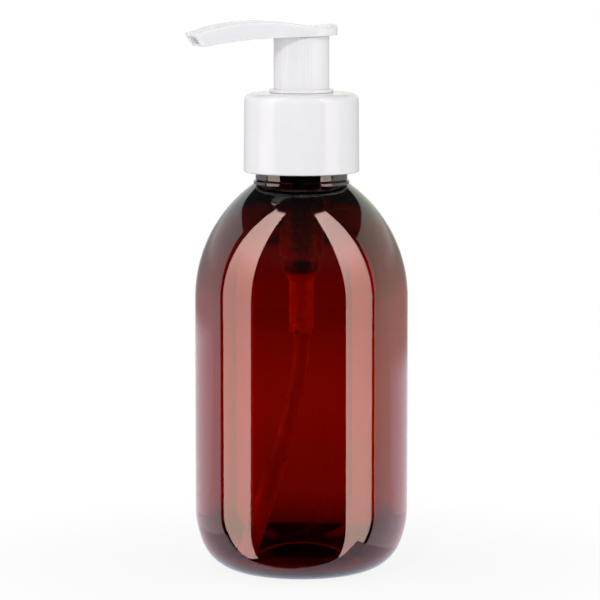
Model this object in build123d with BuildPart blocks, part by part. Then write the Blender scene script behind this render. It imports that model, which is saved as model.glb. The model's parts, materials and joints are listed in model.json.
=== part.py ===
from build123d import *
from math import cos, degrees, pi, radians, sin, sqrt, tan
import os

os.makedirs("parts", exist_ok=True)

# Soap bottle with a lotion pump. Millimetres, +Z up, origin at the centre of the base.
# The spout and the bend of the dip tube both point along -X.

# Fits and clearances
press_fit = 0.05
slide_fit = 0.08
face_gap = 0.1
running_gap = 0.3
guide_gap = 0.2
coil_gap = 0.25
cut_margin = 1.0

# Bottle body
bottle_radius = 31.0
wall = 0.6
heel_high_radius = 28.0
heel_low_radius = 13.0
heel_angle = radians(22.0)
stand_width = 1.8
pushup_height = 4.0
base_wall = 3.0
stand_wall = 1.4
gate_radius = 1.6
gate_depth = 0.7
wall_top_z = 80.0
shoulder_rise = 33.2
shoulder_wall = 2.8
even_rise = 17.0

# Bottle neck
neck_height = 22.0
neck_radius = 13.35
neck_bore_radius = 10.9
neck_bead = 0.55
neck_bead_height = 0.8
thread_root_radius = 12.5
thread_length = 16.4
lip_round = 0.4

# Seal under the pump flange
gasket_thickness = 1.2

# Pump housing
flange_radius = 13.2
flange_thickness = 1.4
barrel_wall = 1.4
barrel_depth = 16.3
barrel_floor = 1.5
cylinder_bore_radius = 5.2
cylinder_wall = 1.2
cylinder_length = 29.2
spring_pocket_wall = 1.7
spring_pocket_depth = 3.5
spring_seat_wall = 2.3
cage_lip = 0.6
cage_catch = 0.2
cage_radius = 2.85
cage_height = 3.2
inlet_radius = 1.5
foot_cone_height = 4.0
socket_wall = 1.2
socket_length = 15.6
tube_insertion = 14.1
socket_slot_width = 1.0
socket_slot_depth = 1.6
socket_slots = 4
vent_radius = 0.45

# Inlet ball
ball_radius = 2.4

# Dip tube and its extension
tube_radius = 2.3
tube_bore_radius = 1.7
tube_straight = 0.5
upper_bend_radius = 70.0
upper_bend = 11.0
lower_bend_radius = 160.0
lower_bend = 8.5
extension_wall = 0.5
extension_overlap = 10.0
extension_cut = 22.0
tube_end_height = 4.4

# Collar
skirt_spacing = 0.9
collar_draft = 0.2
collar_height = 23.0
collar_outer_wall = 1.0
collar_inner_wall = 1.0
collar_top_wall = 1.7
collar_crown_drop = 0.2
collar_top_round = 2.4
collar_foot_round = 0.45
collar_ribs = 12
collar_rib_width = 0.9
thread_room = 0.25

# Lock ring
ring_overhang = 0.25
ring_height = 0.9
ring_round = 0.3
ring_wall = 0.6
ring_floor = 2.0

# Plunger
stroke = 13.0
end_gap = 1.4
stem_radius = 3.2
stem_bore_radius = 1.9
stem_insertion = 9.0
stem_chamfer = 0.3
piston_height = 7.2
piston_lip = 1.3
piston_waist = 0.7
piston_rim = 1.0
valve_float = 1.0
rim_overlap = 1.5
seat_head = 1.9
seat_spigot = 3.0
spigot_taper = 4.0
seat_shank = 6.0
seat_rib = 1.1

# Return spring
wire = 0.9
spring_radius = 3.05
end_pitch = 1.45
active_turns = 6

# Actuator
skirt_radius = 8.0
skirt_wall = 1.1
skirt_length = 17.0
socket_boss_wall = 1.3
socket_boss_length = 12.0
boss_webs = 4
boss_web_width = 1.0
pad_radius = 9.1
pad_offset = 1.4
spout_reach = 34.5
spout_tip_width = 8.6
spout_tip_rise = 2.0
spout_tip_drop = 1.7
spout_tip_slant = 2.8
crest_reach = 15.5
crest_rise = 5.3
dish_edge_reach = 0.5
dish_edge_rise = 3.9
rear_lip_rise = 4.7
rear_foot_rise = 1.2
underside_break = 9.0
underside_rise = 0.75
rim_round = 0.7
passage_width = 5.4
passage_roof = 0.9
passage_floor = 0.8

# Levels that follow from the stack on the lip of the neck
neck_base_z = wall_top_z + shoulder_rise
lip_z = neck_base_z + neck_height
gasket_top_z = lip_z + gasket_thickness
flange_top_z = gasket_top_z + flange_thickness
collar_ceiling_z = flange_top_z + face_gap
collar_top_z = collar_ceiling_z + collar_top_wall
collar_foot_z = collar_top_z - collar_height
ring_foot_z = collar_top_z + face_gap
ring_top_z = ring_foot_z + ring_height
barrel_floor_z = flange_top_z - barrel_depth
cylinder_foot_z = barrel_floor_z - cylinder_length
pocket_foot_z = cylinder_foot_z - spring_pocket_depth
spring_seat_z = cylinder_foot_z - spring_seat_wall
cage_top_z = spring_seat_z - cage_lip
cone_foot_z = pocket_foot_z - foot_cone_height
socket_foot_z = cone_foot_z - socket_length
tube_top_z = socket_foot_z + tube_insertion
piston_top_z = barrel_floor_z - running_gap
piston_foot_z = piston_top_z - piston_height
seat_top_z = piston_foot_z - face_gap / 2
seat_foot_z = seat_top_z - seat_head
stem_foot_z = piston_foot_z + piston_rim + valve_float
head_z = ring_top_z + stroke + end_gap
skirt_foot_z = head_z - skirt_length
boss_foot_z = head_z - socket_boss_length
stem_top_z = boss_foot_z + stem_insertion

# Radii that follow from the pieces that fit in one another
ring_bore_radius = skirt_radius + guide_gap
ring_radius = ring_bore_radius + ring_wall
barrel_bore_radius = ring_radius + press_fit
barrel_radius = barrel_bore_radius + barrel_wall
collar_hole_radius = ring_radius + guide_gap
ring_flange_radius = collar_hole_radius + ring_overhang
cylinder_radius = cylinder_bore_radius + cylinder_wall
piston_radius = cylinder_bore_radius - press_fit
piston_bore_radius = stem_radius + slide_fit
piston_rim_bore = stem_radius - rim_overlap / 2
seat_radius = piston_rim_bore + rim_overlap
shank_radius = stem_bore_radius - press_fit
spring_pocket_radius = spring_radius + wire / 2 + coil_gap
pocket_radius = spring_pocket_radius + spring_pocket_wall
spigot_radius = spring_radius - wire / 2 - coil_gap
cage_lip_radius = ball_radius - cage_catch
socket_bore_radius = tube_radius + press_fit
socket_radius = socket_bore_radius + socket_wall
collar_thread_radius = neck_radius + running_gap + thread_room
inner_skirt_radius = collar_thread_radius + collar_inner_wall
gap_radius = inner_skirt_radius + skirt_spacing
collar_radius = gap_radius + collar_outer_wall
extension_bore_radius = tube_radius + press_fit
extension_radius = extension_bore_radius + extension_wall


def corner(section, x, y):
    """The vertex of a flat section nearest to a point."""
    return section.vertices().sort_by_distance((x, y))[0]


def beside(line, at, distance):
    """Point at a distance to the right of a flat line."""
    way = line % at
    return line @ at + Vector(way.Y, -way.X) * distance


# Bottle: blown shell, thin on the wall, thick at the shoulder top and the base
heel_join_z = heel_low_radius * (1 - sin(heel_angle))
wall_foot_z = heel_join_z + heel_high_radius * sin(heel_angle)
heel_join_radius = bottle_radius - heel_high_radius * (1 - cos(heel_angle))
stand_radius = heel_join_radius - heel_low_radius * cos(heel_angle)
bead_radius = neck_radius + neck_bead
shoulder_run = bottle_radius - bead_radius
shoulder_radius = (shoulder_rise**2 + shoulder_run**2) / (2 * shoulder_run)
neck_inset = shoulder_wall * (1 - shoulder_run / shoulder_radius)
neck_sink = shoulder_wall * shoulder_rise / shoulder_radius
even_bend = shoulder_radius - wall
even_radius = bottle_radius - shoulder_radius + sqrt(even_bend**2 - even_rise**2)
heel_in = (wall * cos(heel_angle), wall * sin(heel_angle))

with BuildPart() as bottle:
    with BuildSketch(Plane.XZ) as bottle_section:
        with BuildLine():
            gate = Line((0, pushup_height - gate_depth), (gate_radius, pushup_height - gate_depth))
            Line(gate @ 1, (gate_radius, pushup_height))
            pushup = TangentArc(
                (gate_radius, pushup_height), (stand_radius - stand_width, 0), tangent=(1, 0)
            )
            stand = Line(pushup @ 1, (stand_radius, 0))
            heel_low = TangentArc(stand @ 1, (heel_join_radius, heel_join_z), tangent=(1, 0))
            heel_high = TangentArc(heel_low @ 1, (bottle_radius, wall_foot_z), tangent=heel_low % 1)
            side = Line(heel_high @ 1, (bottle_radius, wall_top_z))
            shoulder = TangentArc(side @ 1, (bead_radius, neck_base_z), tangent=(0, 1))
            bead_top_z = neck_base_z + neck_bead_height
            bead = Line(shoulder @ 1, (bead_radius, bead_top_z))
            thread_foot_z = lip_z - thread_length
            finish = Polyline(
                bead @ 1,
                (neck_radius, bead_top_z + neck_bead),
                (neck_radius, thread_foot_z - neck_bead),
                (thread_root_radius, thread_foot_z),
                (thread_root_radius, lip_z),
                (neck_bore_radius, lip_z),
                (neck_bore_radius, neck_base_z + neck_sink),
                (bead_radius - neck_inset, neck_base_z - neck_sink),
            )
            inner_side = Line(
                (bottle_radius - wall, wall_foot_z), (bottle_radius - wall, wall_top_z)
            )
            even_end = (even_radius, wall_top_z + even_rise)
            inner_shoulder = TangentArc(inner_side @ 1, even_end, tangent=(0, 1))
            TangentArc(inner_shoulder @ 1, finish @ 1, tangent=inner_shoulder % 1)
            inner_high = TangentArc(
                inner_side @ 0,
                (heel_join_radius - heel_in[0], heel_join_z + heel_in[1]),
                tangent=(0, -1),
            )
            inner_low = TangentArc(
                inner_high @ 1, (stand_radius, stand_wall), tangent=inner_high % 1
            )
            floor_top = (0, pushup_height + base_wall)
            TangentArc(floor_top, inner_low @ 1, tangent=(1, 0))
            Line(floor_top, gate @ 0)
        make_face()
        fillet(corner(bottle_section, thread_root_radius, lip_z), lip_round)
        fillet(corner(bottle_section, neck_bore_radius, lip_z), lip_round)
    revolve(axis=Axis.Z)
bottle.part.label = "bottle"
export_step(bottle.part, "parts/bottle.step")

# Gasket: flat ring between the lip of the neck and the pump flange
with BuildPart() as neck_gasket:
    with BuildSketch(Plane.XY.offset(lip_z)):
        Circle(flange_radius)
        Circle(neck_bore_radius + lip_round, mode=Mode.SUBTRACT)
    extrude(amount=gasket_thickness)
neck_gasket.part.label = "neck_gasket"
export_step(neck_gasket.part, "parts/neck_gasket.step")

# Pump housing: barrel for the lock ring, pump cylinder, ball cage and tube socket
cylinder_floor_z = cylinder_foot_z + cylinder_wall
cage_foot_z = cage_top_z - cage_height
inlet_top_z = cage_foot_z - (cage_radius - inlet_radius)
chamfer_size = socket_wall / 2
with BuildPart() as pump_housing:
    with BuildSketch(Plane.XZ):
        with BuildLine():
            Polyline(
                (barrel_bore_radius, flange_top_z),
                (flange_radius, flange_top_z),
                (flange_radius, gasket_top_z),
                (barrel_radius, gasket_top_z),
                (barrel_radius, barrel_floor_z - barrel_floor),
                (cylinder_radius, barrel_floor_z - barrel_floor),
                (cylinder_radius, cylinder_foot_z),
                (pocket_radius, cylinder_foot_z),
                (pocket_radius, pocket_foot_z),
                (socket_radius, cone_foot_z),
                (socket_radius, socket_foot_z + chamfer_size),
                (socket_radius - chamfer_size, socket_foot_z),
                (socket_bore_radius, socket_foot_z),
                (socket_bore_radius, tube_top_z),
                (inlet_radius, tube_top_z),
                (inlet_radius, inlet_top_z),
                (cage_radius, cage_foot_z),
                (cage_radius, cage_top_z),
                (cage_lip_radius, cage_top_z),
                (cage_lip_radius, spring_seat_z),
                (spring_pocket_radius, spring_seat_z),
                (spring_pocket_radius, cylinder_foot_z),
                (cylinder_bore_radius, cylinder_floor_z),
                (cylinder_bore_radius, barrel_floor_z),
                (barrel_bore_radius, barrel_floor_z),
                close=True,
            )
        make_face()
    revolve(axis=Axis.Z)
    # slots that let the end of the socket spread over the tube
    with BuildSketch(Plane.XY.offset(socket_foot_z)):
        with PolarLocations(socket_radius, socket_slots, start_angle=180 / socket_slots):
            Rectangle(2 * socket_wall, socket_slot_width)
    extrude(amount=socket_slot_depth, mode=Mode.SUBTRACT)
    # vent between the two lips of the resting piston
    with BuildSketch(Plane.YZ.offset(cylinder_bore_radius - cylinder_wall)):
        with Locations((0, (piston_top_z + piston_foot_z) / 2)):
            Circle(vent_radius)
    extrude(amount=3 * cylinder_wall, mode=Mode.SUBTRACT)
pump_housing.part.label = "pump_housing"
export_step(pump_housing.part, "parts/pump_housing.step")

# Inlet ball: rests just clear of its conical seat
ball_rest = face_gap + ball_radius * sqrt(2) - inlet_radius
with BuildPart() as inlet_ball:
    with Locations((0, 0, inlet_top_z + ball_rest)):
        Sphere(ball_radius)
inlet_ball.part.label = "inlet_ball"
export_step(inlet_ball.part, "parts/inlet_ball.step")

# Dip tube: straight in the socket, then two bends and a straight run that leans to -X
lean = radians(upper_bend + lower_bend)
down = Vector(-sin(lean), 0, -cos(lean))
with BuildLine(Plane.XZ) as tube_bend:
    drop = Line((0, tube_top_z), (0, socket_foot_z - tube_straight))
    first = JernArc(drop @ 1, drop % 1, upper_bend_radius, -upper_bend)
    second = JernArc(first @ 1, first % 1, lower_bend_radius, -lower_bend)
joint_point = second @ 1
tube_end = joint_point + down * extension_overlap

with BuildPart() as dip_tube:
    with BuildLine() as tube_path:
        add(tube_bend.line)
        Line(joint_point, tube_end)
    with BuildSketch(Plane(origin=(0, 0, tube_top_z), z_dir=(0, 0, -1))):
        Circle(tube_radius)
        Circle(tube_bore_radius, mode=Mode.SUBTRACT)
    sweep(path=tube_path.wire())
dip_tube.part.label = "dip_tube"
export_step(dip_tube.part, "parts/dip_tube.step")

# Extension: wider tube pushed over the end of the dip tube, cut slanting at both ends
extension_length = (joint_point.Z - tube_end_height) / cos(lean)
cut_spread = extension_radius * tan(radians(extension_cut))
extension_foot = joint_point + down * extension_length
top_normal = Vector(0, 0, 1).rotate(Axis.Y, degrees(lean) - extension_cut)
with BuildPart() as dip_tube_extension:
    with BuildSketch(Plane(origin=joint_point - down * cut_spread, z_dir=down)):
        Circle(extension_radius)
        Circle(extension_bore_radius, mode=Mode.SUBTRACT)
    extrude(amount=extension_length + cut_spread)
    split(bisect_by=Plane(origin=joint_point, z_dir=top_normal), keep=Keep.BOTTOM)
    split(bisect_by=Plane(origin=extension_foot - down * cut_spread, z_dir=(0, 0, 1)), keep=Keep.TOP)
dip_tube_extension.part.label = "dip_tube_extension"
export_step(dip_tube_extension.part, "parts/dip_tube_extension.step")

# Collar: double skirt, smooth outside and plain inside where it screws on the neck
rim_top_z = collar_top_z - collar_crown_drop
collar_top_radius = collar_radius - collar_draft
land_radius = ring_flange_radius + face_gap
gap_top_z = collar_ceiling_z - collar_outer_wall
inner_foot_z = collar_foot_z + collar_inner_wall
with BuildPart() as collar:
    with BuildSketch(Plane.XZ) as collar_section:
        with BuildLine():
            Polyline(
                (collar_radius, collar_foot_z),
                (collar_top_radius, rim_top_z),
                (land_radius, collar_top_z),
                (collar_hole_radius, collar_top_z),
                (collar_hole_radius, collar_ceiling_z),
                (collar_thread_radius, collar_ceiling_z),
                (collar_thread_radius, inner_foot_z),
                (inner_skirt_radius, inner_foot_z),
                (inner_skirt_radius, gap_top_z),
                (gap_radius - collar_draft, gap_top_z),
                (gap_radius, collar_foot_z),
                close=True,
            )
        make_face()
        fillet(corner(collar_section, collar_top_radius, rim_top_z), collar_top_round)
        fillet(corner(collar_section, collar_radius, collar_foot_z), collar_foot_round)
    revolve(axis=Axis.Z)
    # ribs that tie the two skirts together
    rib_reach = (gap_radius + inner_skirt_radius) / 2
    with BuildSketch(Plane.XY.offset(inner_foot_z)):
        with PolarLocations(rib_reach, collar_ribs):
            Rectangle(skirt_spacing + collar_outer_wall, collar_rib_width)
    extrude(amount=gap_top_z - inner_foot_z)
collar.part.label = "collar"
export_step(collar.part, "parts/collar.step")

# Lock ring: flange on the collar, sleeve in the barrel, floor that guides the stem
stem_guide_radius = stem_radius + running_gap
with BuildPart() as lock_ring:
    with BuildSketch(Plane.XZ) as ring_section:
        with BuildLine():
            Polyline(
                (ring_flange_radius, ring_foot_z),
                (ring_flange_radius, ring_top_z),
                (ring_bore_radius, ring_top_z),
                (ring_bore_radius, barrel_floor_z + ring_floor),
                (stem_guide_radius, barrel_floor_z + ring_floor),
                (stem_guide_radius, barrel_floor_z),
                (ring_radius, barrel_floor_z),
                (ring_radius, ring_foot_z),
                close=True,
            )
        make_face()
        fillet(corner(ring_section, ring_flange_radius, ring_top_z), ring_round)
        fillet(corner(ring_section, ring_bore_radius, ring_top_z), ring_round / 2)
    revolve(axis=Axis.Z)
lock_ring.part.label = "lock_ring"
export_step(lock_ring.part, "parts/lock_ring.step")

# Piston: two wiping lips outside, a bore that slides on the stem, a rim that closes on the seat
with BuildPart() as piston:
    with BuildSketch(Plane.XZ):
        with BuildLine():
            waist_radius = piston_radius - piston_waist
            Polyline(
                (piston_rim_bore, piston_foot_z),
                (seat_radius, piston_foot_z),
                (piston_radius, piston_foot_z + piston_lip / 2),
                (piston_radius, piston_foot_z + piston_lip),
                (waist_radius, piston_foot_z + piston_lip + piston_waist),
                (waist_radius, piston_top_z - piston_lip - piston_waist),
                (piston_radius, piston_top_z - piston_lip),
                (piston_radius, piston_top_z - piston_lip / 2),
                (waist_radius, piston_top_z),
                (piston_bore_radius, piston_top_z),
                (piston_bore_radius, piston_foot_z + piston_rim),
                (piston_rim_bore, piston_foot_z + piston_rim),
                close=True,
            )
        make_face()
    revolve(axis=Axis.Z)
piston.part.label = "piston"
export_step(piston.part, "parts/piston.step")

# Piston seat: valve head under the piston, spring spigot below, fluted shank up into the stem
with BuildPart() as piston_seat:
    with BuildSketch(Plane.XY.offset(seat_foot_z)):
        Circle(seat_radius)
    extrude(amount=seat_head)
    with BuildSketch(Plane.XY.offset(seat_foot_z)):
        Circle(spigot_radius)
    extrude(amount=-seat_spigot, taper=spigot_taper)
    with BuildSketch(Plane.XY.offset(seat_top_z)):
        Circle(shank_radius)
        with BuildSketch(mode=Mode.INTERSECT):
            Rectangle(2 * shank_radius, seat_rib)
            Rectangle(seat_rib, 2 * shank_radius)
    extrude(amount=stem_foot_z - seat_top_z + seat_shank)
piston_seat.part.label = "piston_seat"
export_step(piston_seat.part, "parts/piston_seat.step")

# Stem: hollow rod between the piston and the actuator
with BuildPart() as stem:
    with BuildSketch(Plane.XY.offset(stem_foot_z)):
        Circle(stem_radius)
        Circle(stem_bore_radius, mode=Mode.SUBTRACT)
    extrude(amount=stem_top_z - stem_foot_z)
    top_edges = stem.edges().filter_by(GeomType.CIRCLE).group_by(Axis.Z)[-1]
    chamfer(top_edges.sort_by(SortBy.RADIUS)[-1], stem_chamfer)
stem.part.label = "stem"
export_step(stem.part, "parts/stem.step")

# Return spring: one wire, wound as two closed-up end turns round a run of active turns
coil_foot_z = spring_seat_z + face_gap + wire / 2
coil_rise = seat_foot_z - spring_seat_z - 2 * face_gap - wire
active_pitch = (coil_rise - 2 * end_pitch) / active_turns
quarters = 4 * (active_turns + 2)


def coil_height(quarter):
    """Height of the wire's centre after some quarter turns."""
    turns = quarter / 4
    slow = min(turns, 1) + max(turns - active_turns - 1, 0)
    return coil_foot_z + end_pitch * slow + active_pitch * (turns - slow)


def coil_point(quarter):
    """Point on the centre of the wire."""
    angle = quarter * pi / 2
    return Vector(spring_radius * cos(angle), spring_radius * sin(angle), coil_height(quarter))


def coil_tangent(quarter):
    """Direction of the wire, with the climb averaged over the quarters on both sides."""
    angle = quarter * pi / 2
    below = max(quarter - 1, 0)
    above = min(quarter + 1, quarters)
    climb = (coil_height(above) - coil_height(below)) / ((above - below) * pi / 2)
    return Vector(-spring_radius * sin(angle), spring_radius * cos(angle), climb).normalized()


def biarc_middle(start, end, start_way, end_way):
    """Point where two arcs of equal reach meet between two points with given directions."""
    chord = end - start
    ways = start_way + end_way
    a = 2 * (1 - start_way.dot(end_way))
    b = 2 * chord.dot(ways)
    reach = (-b + sqrt(b * b + 4 * a * chord.dot(chord))) / (2 * a)
    return (start + end + (start_way - end_way) * reach) / 2


with BuildPart() as return_spring:
    with BuildLine() as coil:
        for quarter in range(quarters):
            start, end = coil_point(quarter), coil_point(quarter + 1)
            start_way, end_way = coil_tangent(quarter), coil_tangent(quarter + 1)
            middle = biarc_middle(start, end, start_way, end_way)
            TangentArc(start, middle, tangent=start_way)
            TangentArc(end, middle, tangent=end_way * -1)
    with BuildSketch(Plane(origin=coil_point(0), z_dir=coil_tangent(0))):
        Circle(wire / 2)
    sweep(path=coil.wire())
return_spring.part.label = "return_spring"
export_step(return_spring.part, "parts/return_spring.step")

# Least gap between turns, measured on points of the wire's centre
quarter_steps = 16
half_turn = 2 * quarter_steps
samples = [coil_point(step / quarter_steps) for step in range(quarters * quarter_steps + 1)]
least = min(
    (other - point).length
    for at, point in enumerate(samples)
    for other in samples[at + half_turn : at + 3 * half_turn]
)
print(f"return spring: least gap to itself {least - wire:.2f} mm")

# Actuator: finger pad with an arched spout, hollow skirt, boss for the stem, soap passage
tip_top = (-spout_reach, head_z + spout_tip_rise)
tip_foot = (spout_tip_slant - spout_reach, head_z - spout_tip_drop)
crest = (-crest_reach, head_z + crest_rise)
dish_edge = (-dish_edge_reach, head_z + dish_edge_rise)
rear_x = pad_radius + pad_offset
rear_lip = (rear_x + rim_round, head_z + rear_lip_rise)
rear_foot = (rear_x + rim_round, head_z + rear_foot_rise)
underside_front = (-underside_break, head_z + underside_rise)
skirt_bore_radius = skirt_radius - skirt_wall
stem_socket_radius = stem_radius + press_fit
boss_radius = stem_socket_radius + socket_boss_wall
skirt_top_z = head_z + rear_foot_rise
top_facing = cos(radians(35))
with BuildPart() as actuator:
    # side view of the head
    with BuildSketch(Plane.XZ):
        with BuildLine():
            arch = ThreePointArc(tip_top, crest, dish_edge)
            dish = TangentArc(arch @ 1, rear_lip, tangent=arch % 1)
            back = Polyline(dish @ 1, rear_foot, underside_front)
            sag = TangentArc(back @ 1, tip_foot, tangent=back % 1)
            Line(sag @ 1, tip_top)
        make_face()
    extrude(amount=rear_x + rim_round, both=True)
    # plan view of the head
    with BuildSketch(Plane.XY.offset(head_z - spout_tip_drop - cut_margin)):
        with Locations((pad_offset, 0)):
            Circle(pad_radius)
        with Locations((-spout_reach, 0)):
            Rectangle(spout_tip_slant / 2, spout_tip_width)
        make_hull()
    extrude(amount=crest_rise + spout_tip_drop + 2 * cut_margin, mode=Mode.INTERSECT)
    top_faces = actuator.faces().filter_by(lambda face: face.normal_at().Z > top_facing)
    fillet(top_faces.edges().filter_by(Axis.Y, reverse=True), rim_round)
    # skirt and boss
    with BuildSketch(Plane.XY.offset(skirt_foot_z)):
        Circle(skirt_radius)
    extrude(amount=skirt_top_z - skirt_foot_z)
    with BuildSketch(Plane.XY.offset(skirt_foot_z)):
        Circle(skirt_bore_radius)
    extrude(amount=boss_foot_z - skirt_foot_z, mode=Mode.SUBTRACT)
    with BuildSketch(Plane.XY.offset(boss_foot_z)):
        Circle(skirt_bore_radius)
        Circle(boss_radius, mode=Mode.SUBTRACT)
        with PolarLocations((skirt_bore_radius + boss_radius) / 2, boss_webs, start_angle=45):
            Rectangle(2 * skirt_wall + skirt_bore_radius - boss_radius, boss_web_width, mode=Mode.SUBTRACT)
    extrude(amount=socket_boss_length - skirt_wall, mode=Mode.SUBTRACT)
    with BuildSketch(Plane.XY.offset(boss_foot_z)):
        Circle(stem_socket_radius)
    extrude(amount=stem_insertion, mode=Mode.SUBTRACT)
    # soap passage from the top of the stem to the tip
    with BuildSketch(Plane.XZ):
        with BuildLine():
            roof = ThreePointArc(*(beside(arch, at, passage_roof) for at in (0, 0.5, 1)))
            floor = ThreePointArc(*(beside(sag, at, passage_floor) for at in (0, 0.5, 1)))
            Polyline(
                roof @ 1,
                (stem_bore_radius, dish_edge[1] - 2 * passage_roof),
                (stem_bore_radius, stem_top_z),
                (-stem_bore_radius, stem_top_z),
                (-stem_bore_radius, (floor @ 0).Y),
                floor @ 0,
            )
            Polyline(
                floor @ 1,
                floor @ 1 + (floor % 1) * spout_tip_slant,
                roof @ 0 - (roof % 0) * cut_margin,
                roof @ 0,
            )
        make_face()
    extrude(amount=passage_width / 2, both=True, mode=Mode.SUBTRACT)
actuator.part.label = "actuator"
export_step(actuator.part, "parts/actuator.step")
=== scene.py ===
import json
import math

import bmesh
import bpy
import numpy as np
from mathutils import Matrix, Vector

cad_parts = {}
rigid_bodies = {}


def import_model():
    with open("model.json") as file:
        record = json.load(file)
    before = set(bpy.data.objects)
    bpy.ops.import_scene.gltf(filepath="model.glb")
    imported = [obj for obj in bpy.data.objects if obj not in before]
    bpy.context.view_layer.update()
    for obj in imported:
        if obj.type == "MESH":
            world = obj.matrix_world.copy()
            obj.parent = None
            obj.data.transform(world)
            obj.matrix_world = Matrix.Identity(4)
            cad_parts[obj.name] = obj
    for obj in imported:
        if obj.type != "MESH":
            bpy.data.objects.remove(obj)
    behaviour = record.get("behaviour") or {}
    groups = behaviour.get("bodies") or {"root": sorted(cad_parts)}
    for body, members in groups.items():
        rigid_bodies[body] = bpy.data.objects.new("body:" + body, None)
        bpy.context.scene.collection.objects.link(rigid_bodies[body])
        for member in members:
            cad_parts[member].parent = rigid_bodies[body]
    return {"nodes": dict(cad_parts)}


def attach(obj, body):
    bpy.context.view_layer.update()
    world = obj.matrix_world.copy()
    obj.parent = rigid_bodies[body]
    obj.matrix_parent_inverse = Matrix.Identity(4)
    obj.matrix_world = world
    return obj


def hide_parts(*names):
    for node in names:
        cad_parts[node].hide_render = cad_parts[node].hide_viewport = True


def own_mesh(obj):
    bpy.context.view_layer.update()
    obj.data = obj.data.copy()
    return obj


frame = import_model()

for extra in [o for o in bpy.data.objects if o.name in ("Cube", "Light", "Camera")]:
    bpy.data.objects.remove(extra)
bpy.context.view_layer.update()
scene = bpy.context.scene
mm = 0.001
print("frame loaded:", len(frame["nodes"]), "pieces")


# Straight run from a to b, without a itself
def runPoints(a, b, steps=1):
    share = np.linspace(0, 1, steps + 1)[1:, None]
    return np.array(a, float) * (1 - share) + np.array(b, float) * share


# Arc that leaves a along a given way and ends at b: the turn is twice the angle from way to chord,
# and the centre lies square to way at half the chord squared over the chord's reach that side
def bendPoints(a, way, b, steps):
    a, b, way = np.array(a, float), np.array(b, float), np.array(way, float)
    way /= np.linalg.norm(way)
    chord, side = b - a, np.array([-way[1], way[0]])
    turn = 2 * math.atan2(chord @ side, chord @ way)
    centre = a + side * (chord @ chord) / (2 * chord @ side)
    angle = turn * np.linspace(0, 1, steps + 1)[1:]
    out, c, s = a - centre, np.cos(angle), np.sin(angle)
    points = centre + np.stack([out[0] * c - out[1] * s, out[0] * s + out[1] * c], axis=1)
    return points, (way[0] * c[-1] - way[1] * s[-1], way[0] * s[-1] + way[1] * c[-1])


# Mesh from a grid of points (rows, columns, xyz): each cell is one face, doubled points are merged
def gridPiece(name, points, material, loopRows=False, sharpAngle=35):
    rows, columns = points.shape[:2]
    index = np.arange(rows * columns).reshape(rows, columns)
    if loopRows:
        index = np.vstack([index, index[:1]])
    ahead = np.roll(index, -1, axis=1)
    faces = np.stack([index[:-1], ahead[:-1], ahead[1:], index[1:]], axis=-1).reshape(-1, 4)
    mesh = bpy.data.meshes.new(name)
    mesh.from_pydata((points * mm).reshape(-1, 3).tolist(), [], faces.tolist())
    build = bmesh.new()
    build.from_mesh(mesh)
    bmesh.ops.remove_doubles(build, verts=build.verts, dist=1e-7)
    bmesh.ops.recalc_face_normals(build, faces=build.faces)
    build.to_mesh(mesh)
    build.free()
    mesh.shade_smooth()
    mesh.set_sharp_from_angle(angle=math.radians(sharpAngle))
    mesh.materials.append(material)
    piece = bpy.data.objects.new(name, mesh)
    scene.collection.objects.link(piece)
    return piece


# Profile (radius, height) turned about the axis; swell is added to the radius of each grid point
def turned(profile, columns, swell=0):
    angle = np.linspace(0, 2 * np.pi, columns, endpoint=False)
    radius = profile[:, :1] + swell
    height = np.broadcast_to(profile[:, 1:], (len(profile), columns))
    return np.stack([radius * np.cos(angle), radius * np.sin(angle), height], axis=-1)


# Section (out, up) carried along a helix of given turns and heights, shrunk by taper to nothing at its ends
def wound(turns, heights, radius, section, taper):
    angle = 2 * np.pi * turns
    climb = np.gradient(heights, angle)
    outward = np.stack([np.cos(angle), np.sin(angle), 0 * angle], axis=1)
    along = np.stack([-radius * np.sin(angle), radius * np.cos(angle), climb], axis=1)
    along /= np.linalg.norm(along, axis=1, keepdims=True)
    upward = np.cross(outward, along)
    path = outward * radius + np.stack([0 * angle, 0 * angle, heights], axis=1)
    offset = section[None] * taper[:, None, None]
    return path[:, None] + outward[:, None] * offset[..., :1] + upward[:, None] * offset[..., 1:]


def smoothStep(x):
    x = np.clip(x, 0, 1)
    return x * x * (3 - 2 * x)


# Node with its properties and inputs set by name
def addNode(tree, kind, inputs={}, **settings):
    node = tree.nodes.new(kind)
    for key, value in settings.items():
        setattr(node, key, value)
    for key, value in inputs.items():
        if isinstance(value, bpy.types.NodeSocket):
            tree.links.new(value, node.inputs[key])
        else:
            node.inputs[key].default_value = value
    return node


# Colour between a and b; the Mix node keeps its colour sockets at 6 and 7
def mixColor(tree, share, a, b):
    node = addNode(tree, "ShaderNodeMix", {0: share, 6: a, 7: b}, data_type="RGBA")
    return node.outputs[2]


def mathNode(tree, operation, a, b=0.0, c=0.0):
    return addNode(tree, "ShaderNodeMath", {0: a, 1: b, 2: c}, operation=operation).outputs["Value"]


def product(tree, *values):
    result = values[0]
    for value in values[1:]:
        result = mathNode(tree, "MULTIPLY", result, value)
    return result


def mixValue(tree, share, a, b):
    return addNode(tree, "ShaderNodeMix", {"Factor": share, "A": a, "B": b}).outputs["Result"]


# Value carried smoothly from a at low to b at high
def spread(tree, value, low, high, a, b):
    return addNode(tree, "ShaderNodeMapRange",
                   {"Value": value, "From Min": low, "From Max": high, "To Min": a, "To Max": b},
                   interpolation_type="SMOOTHSTEP").outputs["Result"]


# Mask that is 1 where value lies between low and high, with soft edges
def bandMask(tree, value, low, high, soft):
    return product(tree, spread(tree, value, low - soft, low + soft, 0.0, 1.0),
                   spread(tree, value, high - soft, high + soft, 1.0, 0.0))


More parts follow.
